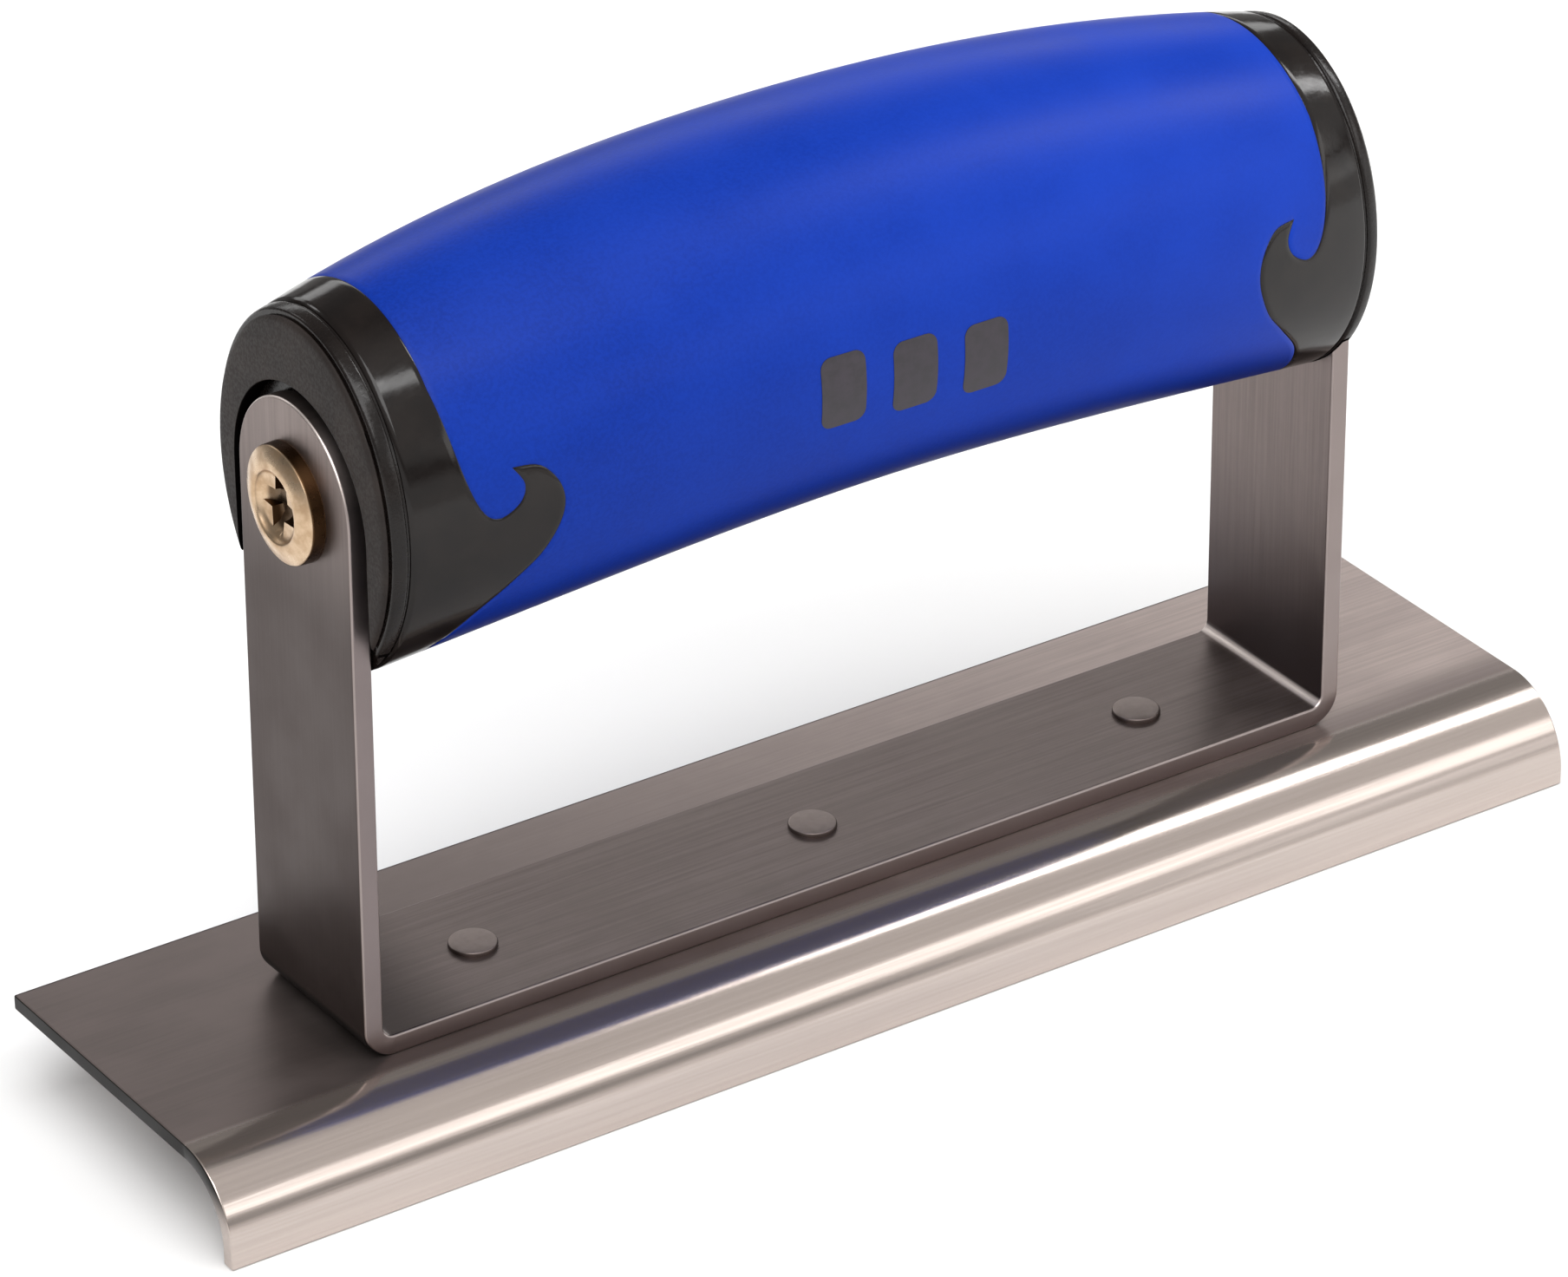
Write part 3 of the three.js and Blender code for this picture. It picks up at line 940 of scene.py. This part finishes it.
def blade_look():
    look = Look("blade_steel", Metallic=0.9)
    grain = look.noise((40, 2600, 2600), 4, 0.6)
    mottle = look.noise((90, 160, 160), 3, 0.5, 3.0)
    blotch = look.spread(mottle, 0.3, 0.7)
    # Behind the roll the sheet keeps its satin mill finish; the roll and lip are polished.
    polished = look.spread(look.axis("Y"), (blade_low.y + 8.4) * MM, (blade_low.y + 7.2) * MM)
    # The satin top is painted darker at the left and lighter at the right: a painted light gradient.
    shaded_satin = look.mix(blotch, linear(117, 106, 103), linear(131, 119, 116))
    lit_satin = look.mix(blotch, linear(200, 184, 179), linear(218, 202, 196))
    satin = look.mix(look.spread(look.axis("X"), -0.085, 0.085), shaded_satin, lit_satin)
    satin = look.mix(look.spread(grain, 0.25, 0.75, 0, 0.3), satin, linear(140, 128, 124))
    # Towards the right the sheet is painted darker where it meets the roll: a painted dark reflection.
    rightward = look.spread(look.axis("X"), 0, 0.055)
    beside_roll = look.spread(look.axis("Y"), -0.0055, -0.011)
    satin = look.mix(look.product(rightward, beside_roll, 0.6), satin, linear(112, 101, 98))
    bright = look.mix(look.spread(grain, 0.3, 0.7, 0, 0.4), linear(196, 184, 177), linear(174, 162, 155))
    # The sheared ends are dark above the lip, and so is the rear edge.
    end = look.spread(look.size_of(look.facing("X")), 0.6, 0.85)
    end = look.product(end, look.spread(look.axis("Z"), 0.003, 0.0075))
    rear = look.spread(look.axis("Y"), (blade_high.y - 0.5) * MM, (blade_high.y - 0.25) * MM, 0, 0.8)
    sheared = look.math("MAXIMUM", end, rear)
    look.colour(look.mix(sheared, look.mix(polished, satin, bright), linear(18, 15, 14)))
    satin_rough = look.spread(mottle, 0.25, 0.75, 0.36, 0.46)
    polished_rough = look.spread(grain, 0.3, 0.7, 0.13, 0.19)
    look.rough(look.blend(polished, satin_rough, polished_rough))
    look.bump(grain, 0.25, 0.00002)
    return look.material


def strap_look():
    look = Look("strap_steel", Metallic=1.0)
    grain = look.noise((60, 2600, 60), 4, 0.6, 5.0)
    mottle = look.noise((110, 110, 110), 4, 0.55, 8.0)
    face = look.mix(look.spread(mottle, 0.3, 0.7), linear(139, 127, 123), linear(157, 144, 140))
    face = look.mix(look.spread(grain, 0.25, 0.75, 0, 0.4), face, linear(108, 98, 95))
    # The left ear is painted darker, except near its top: a painted dark reflection of the surroundings.
    left_ear = look.spread(look.axis("X"), -0.04, -0.052)
    below_top = look.spread(look.axis("Z"), 0.072, 0.052)
    face = look.mix(look.product(left_ear, below_top, 0.9), face, linear(74, 65, 63))
    # The foot of the right ear is painted darker too: painted shade near the blade.
    lengthways = look.size_of(look.facing("X"))
    low_down = look.spread(look.axis("Z"), 0.036, 0.014, 0.22, 1)
    foot = look.product(look.spread(lengthways, 0.6, 0.9), low_down)
    face = look.mix(look.product(foot, look.spread(look.axis("X"), 0, 0.04)), face, linear(84, 75, 76))
    # Side-on edges are bare steel, with a painted light gradient lighter towards the right and painted
    # shade low down where they meet the blade.
    height = look.spread(look.axis("Z"), (TOP + STRAP - 0.1) * MM, (TOP + STRAP + 1.5) * MM)
    edge = look.mix(look.spread(look.axis("X"), -0.05, 0.05), linear(127, 117, 116), linear(144, 133, 130))
    edge = look.mix(height, linear(112, 101, 99), edge)
    # The rounded corners get a painted highlight.
    across = look.size_of(look.facing("Y"))
    corner = look.product(look.spread(across, 0.3, 0.6), look.spread(across, 0.97, 0.88))
    surface = look.mix(corner, look.mix(look.spread(across, 0.45, 0.8), face, edge), linear(156, 145, 142))
    # The inside of each bend gets a painted highlight.
    bend = look.product(look.spread(lengthways, 0.3, 0.55), look.spread(lengthways, 0.97, 0.85))
    inside = look.product(bend, look.spread(look.facing("Z"), 0.2, 0.4))
    surface = look.mix(inside, surface, linear(250, 238, 232))
    # Beneath the bends is painted near-black: painted shadow in the wedge.
    bend_shadow = look.product(look.spread(look.facing("Z"), -0.05, -0.35), look.spread(lengthways, 0.1, 0.3))
    look.colour(look.mix(bend_shadow, surface, linear(16, 14, 13)))
    look.rough(look.spread(mottle, 0.25, 0.75, 0.36, 0.5))
    look.bump(grain, 0.3, 0.00002)
    return look.material


def rivet_look():
    look = Look("rivet_steel", Metallic=1.0)
    mottle = look.noise((700, 700, 700), 3, 0.55, 2.0)
    top = look.mix(look.spread(mottle, 0.3, 0.7), linear(154, 142, 137), linear(174, 161, 156))
    # Everything but the heads' tops is painted darker: painted shade on the rounded sides.
    look.colour(look.mix(look.spread(look.facing("Z"), 0.55, 0.9), linear(96, 86, 83), top))
    look.rough(look.spread(mottle, 0.3, 0.7, 0.42, 0.55))
    look.bump(mottle, 0.3, 0.00003)
    return look.material


def core_look():
    look = Look("core_plastic", Metallic=0.0)
    look.shine(0.06, 0.36)
    cloud = look.noise((300, 300, 300), 3, 0.5, 1.0)
    scuff = look.noise((900, 3000, 900), 5, 0.7, 4.0)
    look.colour(look.mix(look.spread(cloud, 0.3, 0.7), linear(17, 13, 12), linear(25, 20, 18)))
    look.rough(look.spread(scuff, 0.35, 0.75, 0.11, 0.19))
    look.bump(look.noise((2200, 2200, 2200), 2, 0.5, 6.0), 0.15, 0.00002)
    return look.material


def cap_look():
    look = Look("cap_plastic", Metallic=0.0)
    cloud = look.noise((260, 260, 260), 4, 0.55, 2.0)
    grain = look.noise((3500, 3500, 3500), 2, 0.5, 3.0)
    # The flat end is textured; the ring round it is glossy.
    face = look.spread(look.size_of(look.axis("X")), (CAP_START + 1.5) * MM, (CAP_START + 1.62) * MM)
    ring = look.mix(look.spread(cloud, 0.3, 0.7), linear(17, 13, 12), linear(25, 20, 18))
    end = look.mix(look.spread(cloud, 0.3, 0.7), linear(30, 24, 22), linear(39, 32, 29))
    # The pocket's walls are rough and painted near-black: painted shade in the recess.
    near, far = 0.3, 0.4  # how far past the pocket's own size this reaches
    width = look.size_of(look.axis("Y"))
    between = look.spread(width, (POCKET_HALF_WIDTH + far) * MM, (POCKET_HALF_WIDTH + near) * MM)
    below = look.spread(look.axis("Z"), (POCKET_TOP + far) * MM, (POCKET_TOP + near) * MM)
    side_on = look.spread(look.size_of(look.facing("X")), 0.7, 0.4)
    pocket = look.product(side_on, between, below)
    look.colour(look.mix(pocket, look.mix(face, ring, end), linear(9, 7, 7)))
    glossy, textured = look.spread(grain, 0.3, 0.7, 0.18, 0.28), look.spread(grain, 0.3, 0.7, 0.5, 0.65)
    look.rough(look.math("MAXIMUM", look.blend(face, glossy, textured), look.product(pocket, 0.8)))
    look.shine(0.06, 0.32, look.math("SUBTRACT", 1.0, pocket))
    look.bump(grain, 0.35, 0.00004)
    return look.material


def grip_look():
    look = Look("grip_rubber", Metallic=0.0)
    look.shine(0.02, 0.12)
    cloud = look.noise((70, 70, 70), 3, 0.5, 7.0)
    fine_grain = look.noise((2600, 2600, 2600), 3, 0.55, 9.0)
    # The blue is painted darker at the left than at the right: a painted light gradient.
    left = look.mix(look.spread(cloud, 0.3, 0.7), linear(5, 40, 130), linear(8, 45, 140))
    right = look.mix(look.spread(cloud, 0.3, 0.7), linear(8, 48, 152), linear(12, 54, 164))
    blue = look.mix(look.spread(look.axis("X"), -0.05, 0.045), left, right)
    blue = look.mix(look.spread(fine_grain, 0.3, 0.7, 0, 0.25), blue, linear(16, 60, 176))
    # The underside is painted darker: painted shade.
    look.colour(look.mix(look.spread(look.facing("Z"), -0.4, -0.8), blue, linear(8, 26, 92)))
    look.rough(look.spread(cloud, 0.25, 0.75, 0.34, 0.42))
    look.bump(fine_grain, 0.25, 0.00003)
    return look.material


def brass_look(name, seed):
    look = Look(name, Metallic=1.0)
    turning = look.noise((4000, 400, 400), 3, 0.5, seed)
    tarnish = look.noise((500, 500, 500), 4, 0.6, seed + 2)
    flat = look.mix(look.spread(tarnish, 0.35, 0.7), linear(214, 188, 158), linear(186, 156, 124))
    # The head's sides are painted dark brown: painted shade.
    side_on = look.spread(look.size_of(look.facing("X")), 0.75, 0.4)
    brass = look.mix(side_on, flat, linear(76, 55, 36))
    # The driving recess is painted dark: painted shade in the hollow.
    across, rise = look.axis("Y"), look.math("SUBTRACT", look.axis("Z"), AXIS * MM)
    radius = look.math("SQRT", look.math("ADD", look.product(across, across), look.product(rise, rise)))
    inner = look.spread(radius, 0.0034, 0.0031)
    deep = look.spread(look.size_of(look.axis("X")), (screw_high.x - 0.85) * MM, (screw_high.x - 1.25) * MM)
    look.colour(look.mix(look.product(inner, deep, 0.8), brass, linear(58, 40, 25)))
    look.rough(look.spread(tarnish, 0.3, 0.7, 0.24, 0.4))
    look.bump(turning, 0.25, 0.00002)
    return look.material


def ink_look():
    look = Look("mark_ink", Metallic=0.0)
    cloud = look.noise((800, 800, 800), 3, 0.6, 12.0)
    look.colour(look.mix(look.spread(cloud, 0.3, 0.7), linear(34, 30, 36), linear(50, 44, 52)))
    look.rough(look.spread(cloud, 0.3, 0.7, 0.45, 0.6))
    look.bump(cloud, 0.2, 0.00002)
    return look.material


def floor_look():
    look = Look("floor_paper", Metallic=0.0, Roughness=0.8)
    cloud = look.noise((6, 6, 6), 3, 0.5, 1.0)
    look.colour(look.mix(look.spread(cloud, 0.3, 0.7), (0.86, 0.86, 0.86, 1), (0.89, 0.89, 0.89, 1)))
    return look.material


# ---- pieces ----

steel = rivet_look()
screw_brass = brass_look("screw_brass", 1.0)
caps = cap_look()

finish_piece(make_grip(), grip_look(), ["grip_sleeve"], weighted=False)
finish_piece(make_core(), core_look(), ["handle_core"], weighted=False)
finish_piece(make_marks(), ink_look(), [], weighted=False)
finish_piece(make_blade(), blade_look(), ["blade"])
finish_piece(make_bracket(), strap_look(), ["bracket"])
for name, x in zip(("left", "middle", "right"), RIVET_XS):
    finish_piece(make_rivet("rivet_headed_" + name, x), steel, ["rivet_" + name])
for name, side in (("left", -1), ("right", 1)):
    finish_piece(make_cap(side), caps, ["end_cap_" + name])
    finish_piece(make_screw(side), screw_brass, ["screw_" + name])

bush = brass_look("insert_brass", 6.0)
for name in ("insert_left", "insert_right"):
    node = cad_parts[name]
    node.data.materials.clear()
    node.data.materials.append(bush)


# ---- floor, light and camera ----


def make_floor():
    half = 0.5
    mesh = bpy.data.meshes.new("floor")
    corners = [(-half, -half), (half, -half), (half, half), (-half, half)]
    mesh.from_pydata([(x, y, cad_low.z) for x, y in corners], [], [(0, 1, 2, 3)])
    mesh.materials.append(floor_look())
    made = bpy.data.objects.new("floor", mesh)
    bpy.context.scene.collection.objects.link(made)


def softbox(name, place, size, radiance, aim=(0, 0, 0.045)):
    """A rectangular lamp of a given brightness, in metres, facing the tool unless aimed elsewhere."""
    data = bpy.data.lights.new(name, "AREA")
    data.shape = "RECTANGLE"
    data.size, data.size_y = size
    data.energy = radiance * math.pi * size[0] * size[1]
    lamp = bpy.data.objects.new(name, data)
    bpy.context.scene.collection.objects.link(lamp)
    lamp.location = place
    lamp.rotation_mode = "QUATERNION"
    lamp.rotation_quaternion = (Vector(aim) - Vector(place)).to_track_quat("-Z", "Y")
    lamp.visible_camera = False
    return lamp


make_floor()
# Makes the bright line along the top of the roll.
softbox("top_strip", (0.70, -0.031, 0.58), (0.82, 0.112), 8.0, aim=(0.70, -0.031, 0))
softbox("left_key", (-0.65, -0.52, 1.05), (0.9, 0.9), 3.6)
softbox("front_strip", (0.33, -0.5, 0.31), (0.8, 0.17), 1.5)
softbox("front_low", (0.58, -0.5, 0.15), (0.52, 0.12), 0.9)
softbox("back_strip", (0.25, 0.78, 0.35), (1.1, 0.18), 1.8)
softbox("left_card", (-0.02, -0.3, 0.62), (0.2, 0.09), 6.0)
softbox("back_card", (-0.33, 0.58, 0.4), (0.12, 0.12), 4.0)
# Lights the floor and the plastics without showing in the steel.
softbox("fill", (0, 0.05, 1.3), (1, 1), 2.2).visible_glossy = False


def studio_world():
    """Dim behind the tool and lighter in front of it. The backdrop itself looks white."""
    world = bpy.data.worlds.new("studio")
    world.use_nodes = True
    tree = world.node_tree
    tree.nodes.clear()
    way = add(tree, "SeparateXYZ", {0: add(tree, "TexCoord").outputs["Generated"]})
    level = smooth_ramp(tree, way.outputs["Y"], 0.35, -0.35, 0.2, 0.72)
    low = smooth_ramp(tree, way.outputs["Z"], 0.05, 0.16, 0.95, 0)
    high = smooth_ramp(tree, way.outputs["Z"], 0.2, 0.32, 0.3, 1.0)
    strength = combine(tree, "MULTIPLY", level, combine(tree, "ADD", low, high))
    around = add(tree, "Background", {"Color": (1, 0.98, 0.96, 1), "Strength": strength})
    backdrop = add(tree, "Background", {"Color": (1, 1, 1, 1), "Strength": 1.0})
    seen = add(tree, "LightPath").outputs["Is Camera Ray"]
    mixed = add(tree, "MixShader", {0: seen, 1: around.outputs[0], 2: backdrop.outputs[0]})
    add(tree, "OutputWorld", {"Surface": mixed.outputs[0]})
    return world


scene = bpy.context.scene
scene.world = studio_world()
scene.view_settings.view_transform = "Standard"


CAMERA_AZIMUTH = -34.108
CAMERA_ELEVATION = 29.357
CAMERA_ROLL = -0.22
CAMERA_TARGET = Vector((0.00568, 0.01308, 0.02391))
CAMERA_DISTANCE = 0.78396
CAMERA_LENS = 187.74


def aim_camera():
    azimuth, elevation = math.radians(CAMERA_AZIMUTH), math.radians(CAMERA_ELEVATION)
    flat = math.cos(elevation)
    back = Vector((math.sin(azimuth) * flat, -math.cos(azimuth) * flat, math.sin(elevation)))
    data = bpy.data.cameras.new("camera")
    data.sensor_width = 36
    data.lens = CAMERA_LENS
    data.clip_start, data.clip_end = 0.01, 50
    made = bpy.data.objects.new("camera", data)
    scene.collection.objects.link(made)
    made.rotation_mode = "QUATERNION"
    level = (-back).to_track_quat("-Z", "Y")
    made.rotation_quaternion = level @ Matrix.Rotation(math.radians(CAMERA_ROLL), 3, "Z").to_quaternion()
    made.location = CAMERA_TARGET + back * CAMERA_DISTANCE
    scene.camera = made


aim_camera()
